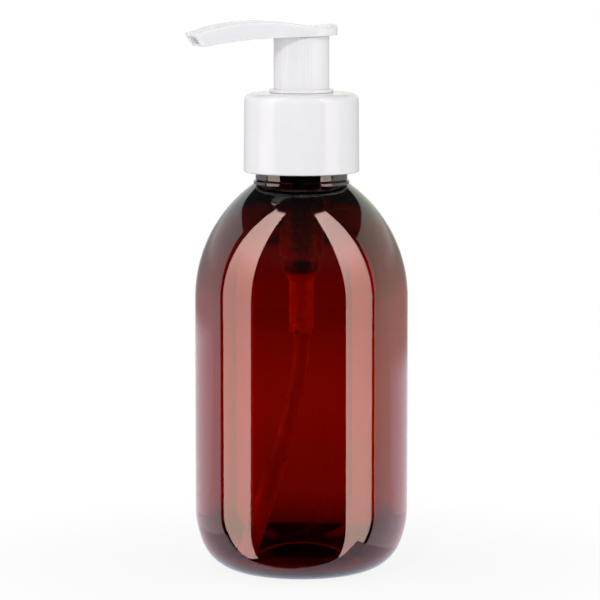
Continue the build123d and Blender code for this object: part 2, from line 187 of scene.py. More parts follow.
def newGroup(name, inputs, outputs):
    group = bpy.data.node_groups.new(name, "ShaderNodeTree")
    for label, kind, value in inputs:
        group.interface.new_socket(label, in_out="INPUT", socket_type=kind).default_value = value
    for label, kind in outputs:
        group.interface.new_socket(label, in_out="OUTPUT", socket_type=kind)
    return group, addNode(group, "NodeGroupInput"), addNode(group, "NodeGroupOutput")


# Moulded plastic: two noises give a faint mottle of colour, uneven gloss and a fine pebble
def makeMouldGrain():
    group, given, result = newGroup(
        "mouldGrain",
        [("Color", "NodeSocketColor", (1, 1, 1, 1)), ("Shade", "NodeSocketColor", (0.9, 0.9, 0.9, 1)),
         ("Grain Size", "NodeSocketFloat", 2500.0), ("Roughness", "NodeSocketFloat", 0.2),
         ("Spread", "NodeSocketFloat", 0.06)],
        [("Color", "NodeSocketColor"), ("Roughness", "NodeSocketFloat"), ("Height", "NodeSocketFloat")])
    place = addNode(group, "ShaderNodeTexCoord").outputs["Object"]
    fine = addNode(group, "ShaderNodeTexNoise",
                   {"Vector": place, "Scale": given.outputs["Grain Size"], "Detail": 3.0, "Roughness": 0.6})
    broad = addNode(group, "ShaderNodeTexNoise", {"Vector": place, "Scale": 90.0, "Detail": 4.0})
    cloud = addNode(group, "ShaderNodeMapRange",
                    {"Value": broad.outputs["Fac"], "From Min": 0.35, "From Max": 0.7})
    tone = mixColor(group, cloud.outputs["Result"], given.outputs["Color"], given.outputs["Shade"])
    uneven = mathNode(group, "MULTIPLY_ADD", cloud.outputs["Result"], given.outputs["Spread"],
                      given.outputs["Roughness"])
    group.links.new(tone, result.inputs["Color"])
    group.links.new(uneven, result.inputs["Roughness"])
    group.links.new(fine.outputs["Fac"], result.inputs["Height"])
    return group


# Blown plastic: streaks drawn up the wall and broad handling haze change the gloss and wave the skin
def makeFlowMarks():
    group, given, result = newGroup(
        "flowMarks",
        [("Color", "NodeSocketColor", (1, 1, 1, 1)), ("Haze Color", "NodeSocketColor", (0.95, 0.9, 0.88, 1)),
         ("Roughness", "NodeSocketFloat", 0.02), ("Haze", "NodeSocketFloat", 0.03)],
        [("Color", "NodeSocketColor"), ("Roughness", "NodeSocketFloat"), ("Height", "NodeSocketFloat")])
    place = addNode(group, "ShaderNodeTexCoord").outputs["Object"]
    drawn = addNode(group, "ShaderNodeMapping", {"Vector": place, "Scale": (60, 60, 6)})
    streak = addNode(group, "ShaderNodeTexNoise",
                     {"Vector": drawn.outputs["Vector"], "Scale": 1.0, "Detail": 2.0})
    cloud = addNode(group, "ShaderNodeTexNoise", {"Vector": place, "Scale": 45.0, "Detail": 5.0})
    haze = addNode(group, "ShaderNodeMapRange",
                   {"Value": cloud.outputs["Fac"], "From Min": 0.5, "From Max": 0.75})
    tone = mixColor(group, haze.outputs["Result"], given.outputs["Color"], given.outputs["Haze Color"])
    gloss = mathNode(group, "MULTIPLY_ADD", haze.outputs["Result"], given.outputs["Haze"],
                     given.outputs["Roughness"])
    group.links.new(tone, result.inputs["Color"])
    group.links.new(gloss, result.inputs["Roughness"])
    group.links.new(streak.outputs["Fac"], result.inputs["Height"])
    return group


mouldGrain = makeMouldGrain()
flowMarks = makeFlowMarks()


# Material whose colour, gloss and fine relief come from one of the groups; relief is the bump's strength and
# its depth in mm
def groupMaterial(name, group, marks, relief, shine):
    material = bpy.data.materials.new(name)
    material.use_nodes = True
    tree = material.node_tree
    shader = tree.nodes["Principled BSDF"]
    skin = addNode(tree, "ShaderNodeGroup", marks, node_tree=group)
    bump = addNode(tree, "ShaderNodeBump",
                   {"Strength": relief[0], "Distance": relief[1] * mm, "Height": skin.outputs["Height"]})
    tree.links.new(skin.outputs["Color"], shader.inputs["Base Color"])
    tree.links.new(skin.outputs["Roughness"], shader.inputs["Roughness"])
    tree.links.new(bump.outputs["Normal"], shader.inputs["Normal"])
    for label, value in shine.items():
        shader.inputs[label].default_value = value
    return material


# Nodes of a material, its group node, and the place on its piece as X, Y and Z
def skinAndPlace(material):
    tree = material.node_tree
    skin = next(node for node in tree.nodes if node.type == "GROUP")
    place = addNode(tree, "ShaderNodeTexCoord").outputs["Object"]
    return tree, skin, addNode(tree, "ShaderNodeSeparateXYZ", {"Vector": place}).outputs


# White moulded parts; the head lets some light through its thin walls
whiteLook = {"Color": (0.80, 0.795, 0.82, 1), "Shade": (0.785, 0.78, 0.808, 1), "Grain Size": 2600.0,
             "Roughness": 0.13, "Spread": 0.05}
whiteCap = groupMaterial("whiteCap", mouldGrain, whiteLook, (0.12, 0.01), {"IOR": 1.3})
whiteHead = groupMaterial("whiteHead", mouldGrain, whiteLook, (0.12, 0.01),
                          {"IOR": 1.3, "Subsurface Weight": 0.9, "Subsurface Scale": 0.002,
                           "Subsurface Radius": (1.0, 1.0, 1.0)})

# Painted light: the walls of the soap passage, which light reaches only by many bounces, are painted a purer
# white than the rest of the head, to make up for the light they lack
passagePaintedLight = {"inner": -18.0, "halfWidth": 2.9, "halfHeight": 1.85, "tip": -32.0, "middle": 155.45,
               "slope": 0.194, "tone": (0.97, 0.97, 0.98, 1)}
tree, skin, place = skinAndPlace(whiteHead)
middle = mathNode(tree, "MULTIPLY_ADD", place["X"], passagePaintedLight["slope"],
                  (passagePaintedLight["middle"] - passagePaintedLight["slope"] * passagePaintedLight["tip"]) * mm)
offMiddle = mathNode(tree, "ABSOLUTE", mathNode(tree, "SUBTRACT", place["Z"], middle))
offSide = mathNode(tree, "ABSOLUTE", place["Y"])
inPassage = product(tree, mathNode(tree, "LESS_THAN", offMiddle, passagePaintedLight["halfHeight"] * mm),
                    mathNode(tree, "LESS_THAN", offSide, passagePaintedLight["halfWidth"] * mm),
                    mathNode(tree, "LESS_THAN", place["X"], passagePaintedLight["inner"] * mm))
# Painted light: inside the passage, the purer white is mixed into both tones of the head
for label in ("Color", "Shade"):
    tree.links.new(mixColor(tree, inPassage, whiteLook[label], passagePaintedLight["tone"]), skin.inputs[label])

# Inside parts of the pump
milkyBarrel = groupMaterial(
    "milkyBarrel", mouldGrain,
    {"Color": (0.93, 0.92, 0.89, 1), "Shade": (0.86, 0.85, 0.82, 1), "Grain Size": 1800.0,
     "Roughness": 0.25, "Spread": 0.1},
    (0.2, 0.02), {"IOR": 1.49, "Transmission Weight": 0.35, "Subsurface Weight": 0.8,
                  "Subsurface Scale": 0.003, "Subsurface Radius": (1.0, 1.0, 1.0)})
# Painted shade set by height: milky at the thick socket, painted dark at the cage to stand for the ball that
# shows through it, and painted dim on the thin barrel above, where little light reaches
barrelPaintedShade = {"milky": 86.5, "thin": 96.0, "Color": (0.2, 0.19, 0.18, 1), "Shade": (0.17, 0.16, 0.15, 1),
              "cage": (87.0, 91.4), "cageSoft": 1.0, "cageShadeTone": (0.07, 0.065, 0.06, 1)}
tree, skin, place = skinAndPlace(milkyBarrel)
shadeAbove = spread(tree, place["Z"], barrelPaintedShade["milky"] * mm, barrelPaintedShade["thin"] * mm, 0.0, 1.0)
cageShadeMask = bandMask(tree, place["Z"], *(edge * mm for edge in barrelPaintedShade["cage"]), barrelPaintedShade["cageSoft"] * mm)
# Painted shade: the milky tone is dimmed above the socket and darkened at the cage
for label in ("Color", "Shade"):
    milky = tuple(skin.inputs[label].default_value)
    tone = mixColor(tree, shadeAbove, milky, barrelPaintedShade[label])
    tree.links.new(mixColor(tree, cageShadeMask, tone, barrelPaintedShade["cageShadeTone"]), skin.inputs[label])
tubeClear = groupMaterial(
    "tubeClear", mouldGrain,
    {"Color": (0.95, 0.94, 0.91, 1), "Shade": (0.88, 0.87, 0.84, 1), "Grain Size": 1200.0,
     "Roughness": 0.28, "Spread": 0.12},
    (0.2, 0.02), {"IOR": 1.5, "Transmission Weight": 0.42, "Subsurface Weight": 0.8,
                  "Subsurface Scale": 0.003, "Subsurface Radius": (1.0, 1.0, 1.0)})
softPiston = groupMaterial(
    "softPiston", mouldGrain,
    {"Color": (0.82, 0.81, 0.78, 1), "Shade": (0.75, 0.74, 0.71, 1), "Grain Size": 1500.0,
     "Roughness": 0.45, "Spread": 0.1},
    (0.2, 0.02), {"IOR": 1.5})
foamSeal = groupMaterial(
    "foamSeal", mouldGrain,
    {"Color": (0.86, 0.86, 0.85, 1), "Shade": (0.7, 0.7, 0.69, 1), "Grain Size": 3500.0,
     "Roughness": 0.75, "Spread": 0.15},
    (0.8, 0.1), {"IOR": 1.45})
springWire = groupMaterial(
    "springWire", mouldGrain,
    {"Color": (0.56, 0.56, 0.57, 1), "Shade": (0.46, 0.46, 0.47, 1), "Grain Size": 5000.0,
     "Roughness": 0.24, "Spread": 0.12},
    (0.25, 0.01), {"Metallic": 1.0})
ballPolish = groupMaterial(
    "ballPolish", mouldGrain,
    {"Color": (0.62, 0.62, 0.64, 1), "Shade": (0.55, 0.55, 0.57, 1), "Grain Size": 6000.0,
     "Roughness": 0.1, "Spread": 0.08},
    (0.1, 0.005), {"Metallic": 1.0})

# Clear amber plastic: the wall itself is colourless, and its volume soaks up green and blue
amberLook = {"ior": 1.57, "density": 8000.0, "absorbed": (0.91, 0.43, 0.0, 1)}
amberWall = groupMaterial(
    "amberWall", flowMarks,
    {"Color": (1, 1, 1, 1), "Haze Color": (0.97, 0.95, 0.94, 1), "Roughness": 0.012, "Haze": 0.02},
    (0.02, 0.05), {"IOR": amberLook["ior"], "Transmission Weight": 1.0})
soak = addNode(amberWall.node_tree, "ShaderNodeVolumeAbsorption",
               {"Color": amberLook["absorbed"], "Density": amberLook["density"]})
amberWall.node_tree.links.new(soak.outputs["Volume"],
                              amberWall.node_tree.nodes["Material Output"].inputs["Volume"])
print("materials made:", len(bpy.data.materials))

# Finish of each piece from the frame
nodeFinish = {
    "collar": whiteCap, "lock_ring": whiteCap, "actuator": whiteHead, "pump_housing": milkyBarrel,
    "stem": milkyBarrel, "piston_seat": milkyBarrel, "piston": softPiston, "dip_tube": tubeClear,
    "dip_tube_extension": tubeClear, "neck_gasket": foamSeal, "inlet_ball": ballPolish,
    "return_spring": springWire, "bottle": amberWall}
for node, material in nodeFinish.items():
    frame["nodes"][node].data.materials[0] = material

# Bottle: one closed shell, thin on the wall, thick at the shoulder's top and in the base
bottleSize = {
    "radius": 31.0, "wall": 0.6, "heelHigh": 28.0, "heelLow": 13.0, "heelAngle": 22.0, "standWidth": 1.8,
    "pushUp": 4.0, "baseWall": 3.0, "standWall": 1.4, "gateRadius": 1.6, "gateDepth": 0.7, "gateRound": 0.2,
    "wallTop": 80.0, "shoulderRise": 33.2, "shoulderWall": 2.8, "evenRise": 17.0, "neckHeight": 22.0,
    "neckRadius": 13.35, "neckBore": 10.9, "bead": 0.55, "beadHeight": 0.8, "threadRoot": 12.5,
    "threadLength": 16.4, "lipDrop": 0.3, "lipWidth": 0.35, "lipCorner": (0.1, 0.08), "columns": 192,
    "steps": {"gate": 2, "pushUp": 14, "stand": 2, "heelLow": 22, "heelHigh": 12, "wall": 8, "shoulder": 36,
              "bead": 3, "neck": 2, "finish": 64, "lip": 2, "bore": 8, "neckFlare": 4, "even": 18,
              "thick": 24, "dome": 16}}
threadSize = {"lead": 4.23333, "turns": 1.5, "rise": 1.05, "foot": 0.95, "crest": 0.3, "fade": 0.08,
              "neckStart": 126.0, "collarStart": 119.65, "collarBore": 13.9, "collarCrest": 0.4, "sink": 0.15,
              "steps": 220}


# Profile (radius, height) of the shell, outside from the gate to the lip and back down inside, and a list
# with ones where the thread is. The shoulder is one arc that leaves the wall upright. Inside, it keeps an
# even distance up to evenRise and then bends in, so that the wall gets thicker towards the neck
def bottleProfile(d):
    n = d["steps"]
    heel = math.radians(d["heelAngle"])
    joinZ = d["heelLow"] * (1 - math.sin(heel))
    footZ = joinZ + d["heelHigh"] * math.sin(heel)
    joinR = d["radius"] - d["heelHigh"] * (1 - math.cos(heel))
    standR = joinR - d["heelLow"] * math.cos(heel)
    beadR, neckZ = d["neckRadius"] + d["bead"], d["wallTop"] + d["shoulderRise"]
    lipZ = neckZ + d["neckHeight"]
    run = d["radius"] - beadR
    bend = (d["shoulderRise"] ** 2 + run ** 2) / (2 * run)
    inset = d["shoulderWall"] * (1 - run / bend)
    sink = d["shoulderWall"] * d["shoulderRise"] / bend
    beadTop = neckZ + d["beadHeight"]
    threadZ = lipZ - d["threadLength"]
    innerR = d["radius"] - d["wall"]
    gate, gateZ = d["gateRadius"], d["pushUp"] - d["gateDepth"]
    innerStand = (standR - d["standWidth"], 0)
    pushUp, _ = bendPoints((gate, d["pushUp"]), (1, 0), innerStand, n["pushUp"])
    heelLow, way = bendPoints((standR, 0), (1, 0), (joinR, joinZ), n["heelLow"])
    heelHigh, _ = bendPoints((joinR, joinZ), way, (d["radius"], footZ), n["heelHigh"])
    shoulder, _ = bendPoints((d["radius"], d["wallTop"]), (0, 1), (beadR, neckZ), n["shoulder"])
    gateEdge, gateRim = (gate - d["gateRound"], gateZ), (gate, gateZ + d["gateRound"])
    neckFoot = (d["neckRadius"], beadTop + d["bead"])
    neckTop = (d["neckRadius"], threadZ - d["bead"])
    outer = [np.array([[0, gateZ]]), runPoints((0, gateZ), gateEdge, n["gate"]), runPoints(gateEdge, gateRim),
             runPoints(gateRim, (gate, d["pushUp"])), pushUp, runPoints(innerStand, (standR, 0), n["stand"]),
             heelLow, heelHigh, runPoints((d["radius"], footZ), (d["radius"], d["wallTop"]), n["wall"]),
             shoulder, runPoints((beadR, neckZ), (beadR, beadTop), n["bead"]),
             runPoints((beadR, beadTop), neckFoot, n["neck"]), runPoints(neckFoot, neckTop, n["neck"]),
             runPoints(neckTop, (d["threadRoot"], threadZ), n["neck"])]
    lipFoot, (cornerR, cornerZ) = lipZ - d["lipDrop"], d["lipCorner"]
    finish = runPoints((d["threadRoot"], threadZ), (d["threadRoot"], lipFoot), n["finish"])
    lipOuter, lipInner = d["threadRoot"] - d["lipWidth"], d["neckBore"] + d["lipWidth"]
    lip = [np.array([[d["threadRoot"] - cornerR, lipZ - cornerZ], [lipOuter, lipZ]]),
           runPoints((lipOuter, lipZ), (lipInner, lipZ), n["lip"]),
           np.array([[d["neckBore"] + cornerR, lipZ - cornerZ], [d["neckBore"], lipFoot]])]
    innerTop, boreFoot = (beadR - inset, neckZ - sink), (d["neckBore"], neckZ + sink)
    evenR = d["radius"] - bend + math.sqrt((bend - d["wall"]) ** 2 - d["evenRise"] ** 2)
    evenEnd = (evenR, d["wallTop"] + d["evenRise"])
    evenPart, way = bendPoints((innerR, d["wallTop"]), (0, 1), evenEnd, n["even"])
    thickPart, _ = bendPoints(evenEnd, way, innerTop, n["thick"])
    innerShoulder = np.vstack([evenPart, thickPart])
    innerJoin = (joinR - d["wall"] * math.cos(heel), joinZ + d["wall"] * math.sin(heel))
    innerHigh, way = bendPoints((innerR, footZ), (0, -1), innerJoin, n["heelHigh"])
    innerLow, _ = bendPoints(innerJoin, way, (standR, d["standWall"]), n["heelLow"])
    domeTop = (0, d["pushUp"] + d["baseWall"])
    dome, _ = bendPoints(domeTop, (1, 0), (standR, d["standWall"]), n["dome"])
    inner = [runPoints((d["neckBore"], lipFoot), boreFoot, n["bore"]),
             runPoints(boreFoot, innerTop, n["neckFlare"]), innerShoulder[-2::-1],
             runPoints((innerR, d["wallTop"]), (innerR, footZ), n["wall"]), innerHigh, innerLow,
             dome[-2::-1], np.array([domeTop])]
    before = sum(len(part) for part in outer)
    profile = np.vstack(outer + [finish] + lip + inner)
    threaded = np.zeros(len(profile))
    threaded[before:before + len(finish)] = 1
    return profile, threaded


# Thread ridge over a grid of heights and angles: its centre climbs one lead a turn, its flanks are smooth
# steps either side of the crest, and it fades in and out at its ends
def threadRidge(height, angle, start, d):
    along = (height - start) / d["lead"] - angle / (2 * np.pi)
    turn = np.round(along)
    off = np.abs(along - turn) * d["lead"]
    done = angle / (2 * np.pi) + turn
    ends = smoothStep(done / d["fade"]) * smoothStep((d["turns"] - done) / d["fade"])
    return d["rise"] * smoothStep((d["foot"] - off) / (d["foot"] - d["crest"])) * ends


profile, threaded = bottleProfile(bottleSize)
angles = np.linspace(0, 2 * np.pi, bottleSize["columns"], endpoint=False)[None]
ridge = threadRidge(profile[:, 1:], angles, threadSize["neckStart"], threadSize) * threaded[:, None]
bottleShell = gridPiece("bottleShell", turned(profile, bottleSize["columns"], ridge), amberWall)
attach(bottleShell, "bottle")
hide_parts("bottle")
print("bottle shell:", len(bottleShell.data.polygons), "faces")

# Collar thread: a blunt ridge wound inside the inner skirt, one and a half leads below the neck's own
turns = np.linspace(0, threadSize["turns"], threadSize["steps"])
toEnd = threadSize["turns"] - turns
taper = smoothStep(turns / threadSize["fade"]) * smoothStep(toEnd / threadSize["fade"])
foot, crest = threadSize["foot"], threadSize["collarCrest"]
sink, rise = threadSize["sink"], threadSize["rise"]
blunt = np.array([[sink, -foot], [-rise, -crest], [-rise, crest], [sink, foot]])
heights = threadSize["collarStart"] + threadSize["lead"] * turns
ridge = wound(turns, heights, threadSize["collarBore"], blunt, taper)
collarThread = gridPiece("collarThread", ridge, whiteCap)
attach(collarThread, "collar")

# Return spring: round wire on a helix with a close turn at each end, its change of pitch smoothed
springSize = {"wire": 0.9, "radius": 3.05, "foot": 90.55, "rise": 20.95, "endPitch": 1.45, "activeTurns": 6,
              "endTurns": 1, "steps": 400, "smoothing": 9, "sides": 14, "seat": 90.0, "top": 112.05,
              "stroke": 13.0}
active, ends = springSize["activeTurns"], springSize["endTurns"]
turns = np.linspace(0, active + 2 * ends, springSize["steps"])
slow = np.minimum(turns, ends) + np.maximum(turns - active - ends, 0)
activePitch = (springSize["rise"] - 2 * ends * springSize["endPitch"]) / active
heights = springSize["foot"] + springSize["endPitch"] * slow + activePitch * (turns - slow)
window = springSize["smoothing"]
smoothed = slice(window - 1, 1 - window)
heights[smoothed] = np.convolve(heights, np.ones(window) / window, mode="same")[smoothed]
around = np.linspace(0, 2 * np.pi, springSize["sides"], endpoint=False)
ring = np.stack([np.cos(around), np.sin(around)], axis=1) * springSize["wire"] / 2
taper = np.ones(springSize["steps"])
taper[[0, -1]] = 0
coilSpring = gridPiece("coilSpring", wound(turns, heights, springSize["radius"], ring, taper), springWire)
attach(coilSpring, "pump")
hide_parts("return_spring")
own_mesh(coilSpring)

# Flutes on the head's skirt: a thin sleeve with flat lands and a narrow groove between each two. The ripple
# is a smooth step of the distance from the groove's middle, full at half the groove's share of a flute
fluteSize = {"radius": 8.01, "depth": 0.045, "count": 45, "groove": 0.3, "facets": 16, "inner": 7.5,
             "foot": 138.1, "top": 155.7, "round": 0.15}
columns = fluteSize["count"] * fluteSize["facets"]
angles = np.linspace(0, 2 * np.pi, columns, endpoint=False)
fromGroove = np.abs((fluteSize["count"] * angles / (2 * np.pi)) % 1 - 0.5)
ripple = fluteSize["depth"] * smoothStep(fromGroove / fluteSize["groove"] * 2)
outside, inside = fluteSize["radius"], fluteSize["inner"]
foot, top = fluteSize["foot"], fluteSize["top"]
sleeve = np.array([[inside, foot], [outside - fluteSize["round"], foot], [outside, foot + fluteSize["round"]],
                   [outside, top], [inside, top]])
swell = np.array([0, 1, 1, 1, 0])[:, None] * ripple[None]
skirtFlutes = gridPiece("skirtFlutes", turned(sleeve, columns, swell), whiteCap, loopRows=True)
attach(skirtFlutes, "head")
print("thread, spring and flutes made")

# Camera where the photograph was taken from
cameraPlace = {"distance": 1.0, "azimuth": -22.0, "height": 0.1971, "pitch": 6.73, "lens": 207.5,
               "sensor": 36.0, "shift": -0.0025, "clip": 0.01}
azimuth, pitch = math.radians(cameraPlace["azimuth"]), math.radians(cameraPlace["pitch"])
toCamera = Vector((math.sin(azimuth), -math.cos(azimuth), 0))
toRight = Vector((math.cos(azimuth), math.sin(azimuth), 0))
cameraData = bpy.data.cameras.new("photoCamera")
cameraData.sensor_width = cameraPlace["sensor"]
cameraData.lens = cameraPlace["lens"]
cameraData.shift_x = cameraPlace["shift"]
cameraData.clip_start = cameraPlace["clip"]
camera = bpy.data.objects.new("photoCamera", cameraData)
camera.location = toCamera * cameraPlace["distance"] + Vector((0, 0, cameraPlace["height"]))
look = -toCamera * math.cos(pitch) + Vector((0, 0, -math.sin(pitch)))
camera.rotation_euler = look.to_track_quat("-Z", "Y").to_euler()
scene.collection.objects.link(camera)
scene.camera = camera

# Two tall soft boxes either side of the camera's line and a high front light, as lamps for the matt surfaces
lampSize = {
    "leftBox": {"size": (0.5, 1.5), "bearing": -74.0, "distance": 0.8, "height": 0.75, "aim": 0.75,
                "radiance": 1.2},
    "rightBox": {"size": (0.5, 1.5), "bearing": 67.0, "distance": 0.8, "height": 0.75, "aim": 0.75,
                 "radiance": 1.0},
    "frontKey": {"size": (0.04, 0.04), "bearing": -10.0, "distance": 0.9, "height": 0.78, "aim": 0.14,
                 "radiance": 540.0}}
for name, d in lampSize.items():
    turn = math.radians(d["bearing"])
    side = toCamera * math.cos(turn) + toRight * math.sin(turn)
    data = bpy.data.lights.new(name, "AREA")
    data.shape = "RECTANGLE"
    data.size, data.size_y = d["size"]
    data.energy = d["radiance"] * math.pi * data.size * data.size_y
    lamp = bpy.data.objects.new(name, data)
    lamp.location = side * d["distance"] + Vector((0, 0, d["height"]))
    aim = Vector((0, 0, d["aim"])) - lamp.location
    lamp.rotation_euler = aim.to_track_quat("-Z", "Y").to_euler()
    lamp.visible_glossy = False
    lamp.visible_transmission = False
    scene.collection.objects.link(lamp)


# Parts of a direction or place toward the camera and to its right, and its bearing in degrees from the
# camera's line
def compass(tree, vector):
    ahead = addNode(tree, "ShaderNodeVectorMath", {0: vector, 1: tuple(toCamera)}, operation="DOT_PRODUCT")
    aside = addNode(tree, "ShaderNodeVectorMath", {0: vector, 1: tuple(toRight)}, operation="DOT_PRODUCT")
    ahead, aside = ahead.outputs["Value"], aside.outputs["Value"]
    return ahead, aside, mathNode(tree, "DEGREES", mathNode(tree, "ARCTAN2", aside, ahead))


# Mask of one soft box: its inner and outer edges are bearings that bend with the square of the rise
def boxMask(tree, bearing, rise, d, soft):
    away = mathNode(tree, "MULTIPLY", bearing, d["side"])
    square = mathNode(tree, "MULTIPLY", rise, rise)
    innerBend = mathNode(tree, "MULTIPLY", square, spread(tree, rise, -d["turn"], d["turn"], *d["innerBend"]))
    pastInner = mathNode(tree, "SUBTRACT", away, mathNode(tree, "ADD", innerBend, d["inner"]))
    outerBend = mathNode(tree, "MULTIPLY", square, d["outerBend"])
    pastOuter = mathNode(tree, "SUBTRACT", away, mathNode(tree, "ADD", outerBend, d["outer"]))
    return product(tree, spread(tree, pastInner, -soft, soft, 0.0, 1.0),
                   spread(tree, pastOuter, -soft, soft, 1.0, 0.0))


# World: white for the eye, a plain fill for matt surfaces. Reflections see two tinted soft boxes, the white
# behind, which is darker far off, a faint ceiling and the dark camera side. Light through the bottle sees
# grey that changes with its rise, and the boxes once it has been bounced by a surface. Spans are bearings in
# degrees or rises
worldLook = {
    "fill": 0.89, "slope": 0.31, "polar": 0.35, "polarSpan": (0.1, 0.9), "soft": 0.4,
    "left": {"side": -1.0, "inner": 55.85, "outer": 93.6, "innerBend": (21.0, -4.7), "outerBend": -12.0,
             "turn": 0.05},
    "right": {"side": 1.0, "inner": 48.6, "outer": 82.0, "innerBend": (13.5, -9.0), "outerBend": -7.0,
              "turn": 0.05},
    "boxTop": (0.943, 0.917), "topSpan": (48.8, 82.0), "topSoft": 0.008, "boxFoot": (-0.8, -0.76),
    "boxLevel": (4.8, 4.0), "boxSpan": (48.8, 93.6), "boxLift": 1.45, "liftSpan": (0.05, 0.62),
    "lowTint": (1.01, 0.99, 0.85, 1), "highTint": (0.98, 0.86, 0.74, 1), "tintSpan": (-0.17, -0.11),
    "steepTint": (1.45, 0.96, 0.86, 1), "steepSpan": (0.3, 0.55), "steepShare": 0.2,
    "leftEdge": (-93.0, -74.0), "leftTint": (1.12, 0.96, 0.97, 1),
    "rightEdge": (49.0, 55.0), "rightTint": (1.65, 1.04, 1.05, 1),
    "leftInner": 58.2, "rightInner": (56.0, 79.5), "downSpan": (-0.1, 0.0),
    "front": (-98.0, 85.4), "backTop": (0.605, 0.45), "backSpan": (110.0, 165.0), "backSoft": 0.012,
    "backLevel": (1.5, 1.22), "levelSpan": (-0.15, 0.35), "backTint": (1.0, 1.0, 1.08, 1),
    "rearShare": (0.6, 0.8), "rearRise": (-0.05, 0.12), "rearSwing": (100.0, 180.0),
    "darkShare": 0.46, "darkSpan": (92.0, 155.0), "darkEnd": (158.0, 174.0), "farFoot": (-0.2, -0.15),
    "farTop": (0.08, 0.2), "farTint": (1.0, 1.0, 0.86, 1), "farShare": (0.3, 1.0), "farSpan": (-90.0, 90.0),
    "ceiling": 0.05, "ceilingSpan": (0.3, 0.6),
    "through": ((-0.95, 0.2), (-0.85, 0.2), (-0.7, 0.01), (-0.183, 0.01), (-0.178, 0.225), (-0.173, 0.285),
                (-0.162, 0.33), (-0.15, 0.39), (-0.14, 0.38), (-0.13, 0.315), (-0.121, 0.24), (-0.109, 0.22),
                (-0.098, 0.2), (-0.085, 0.03), (0.3, 0.02))}
w, soft, white = worldLook, worldLook["soft"], (1, 1, 1, 1)
world = bpy.data.worlds.new("studio")
scene.world = world
world.use_nodes = True
tree = world.node_tree
sky = tree.nodes["Background"]
rays = addNode(tree, "ShaderNodeLightPath").outputs
heading = addNode(tree, "ShaderNodeTexCoord").outputs["Generated"]
rise = addNode(tree, "ShaderNodeSeparateXYZ", {"Vector": heading}).outputs["Z"]
ahead, aside, bearing = compass(tree, heading)
swing = mathNode(tree, "ABSOLUTE", bearing)
upright = mathNode(tree, "ABSOLUTE", rise)
steep = spread(tree, upright, *w["steepSpan"], 0.0, 1.0)

# Soft boxes
leftBox = boxMask(tree, bearing, rise, w["left"], soft)
rightBox = boxMask(tree, bearing, rise, w["right"], soft)
inBox = mathNode(tree, "ADD", leftBox, rightBox)
pastTop = mathNode(tree, "SUBTRACT", rise, spread(tree, swing, *w["topSpan"], *w["boxTop"]))
boxLevel = product(tree, spread(tree, swing, *w["boxSpan"], *w["boxLevel"]),
                   spread(tree, rise, *w["liftSpan"], 1.0, w["boxLift"]),
                   spread(tree, pastTop, -w["topSoft"], w["topSoft"], 1.0, 0.0),
                   spread(tree, rise, *w["boxFoot"], 0.0, 1.0))

# White behind, with less of it straight behind, and the darker part far off
notFront = mathNode(tree, "SUBTRACT", 1.0, bandMask(tree, bearing, *w["front"], soft))
pastTop = mathNode(tree, "SUBTRACT", rise, spread(tree, swing, *w["backSpan"], *w["backTop"]))
rear = mixValue(tree, spread(tree, swing, *w["rearSwing"], 0.0, 1.0), 1.0,
                spread(tree, rise, *w["rearRise"], *w["rearShare"]))
back = product(tree, notFront, spread(tree, pastTop, -w["backSoft"], w["backSoft"], 1.0, 0.0),
               spread(tree, rise, *w["levelSpan"], *w["backLevel"]), rear)
aboveFoot = spread(tree, rise, *w["farFoot"], 0.0, 1.0)
farOff = product(tree, aboveFoot, spread(tree, rise, *w["farTop"], 1.0, 0.0),
                 spread(tree, swing, *w["darkEnd"], 1.0, 0.0))
darker = mixValue(tree, farOff, 1.0, spread(tree, swing, *w["darkSpan"], 1.0, w["darkShare"]))
mirrored = mathNode(tree, "MAXIMUM", product(tree, back, darker), product(tree, inBox, boxLevel))
mirrored = mathNode(tree, "MAXIMUM", mirrored, spread(tree, rise, *w["ceilingSpan"], 0.0, w["ceiling"]))

# Light through the bottle: the ramp runs from 0 straight down to 1 straight up
ramp = addNode(tree, "ShaderNodeValToRGB", {"Fac": mathNode(tree, "MULTIPLY_ADD", rise, 0.5, 0.5)})
stops = ramp.color_ramp.elements
stops.remove(stops[0])
for height, value in w["through"]:
    stops.new((height + 1) / 2).color = (value, value, value, 1)
stops.remove(stops[-1])
bounced = mathNode(tree, "MINIMUM", rays["Glossy Depth"], 1.0)
scattered = mathNode(tree, "MINIMUM", rays["Diffuse Depth"], 1.0)
leftInner = boxMask(tree, bearing, rise, {**w["left"], "inner": w["leftInner"]}, soft)
rightInner = bandMask(tree, bearing, *w["rightInner"], soft)
glancing = product(tree, bounced, mixValue(tree, steep, 1.0, w["steepShare"]))
innerBox = product(tree, mathNode(tree, "ADD", leftInner, rightInner),
                   mathNode(tree, "MAXIMUM", glancing, scattered), boxLevel)
downward = product(tree, back, bounced, spread(tree, rise, *w["downSpan"], 1.0, 0.0))
through = mathNode(tree, "MAXIMUM", mathNode(tree, "MAXIMUM", innerBox, ramp.outputs["Color"]), downward)

# Level and tint for each kind of ray
fill = product(tree, mathNode(tree, "MULTIPLY_ADD", ahead, w["slope"], w["fill"]),
               spread(tree, upright, *w["polarSpan"], 1.0, w["polar"]))
level = mixValue(tree, rays["Is Camera Ray"], fill, 1.0)
level = mixValue(tree, rays["Is Glossy Ray"], level, mirrored)
level = mixValue(tree, rays["Is Transmission Ray"], level, through)
onLeft = spread(tree, bearing, *w["leftEdge"], 1.0, 0.0)
onRight = product(tree, rightBox, spread(tree, bearing, *w["rightEdge"], 1.0, 0.0))
edgeTint = mixColor(tree, onRight, mixColor(tree, onLeft, white, w["leftTint"]), w["rightTint"])
riseTint = mixColor(tree, spread(tree, rise, *w["tintSpan"], 0.0, 1.0), w["lowTint"], w["highTint"])
bothTints = addNode(tree, "ShaderNodeVectorMath", {0: riseTint, 1: edgeTint}, operation="MULTIPLY")
boxTint = mixColor(tree, steep, bothTints.outputs["Vector"], w["steepTint"])
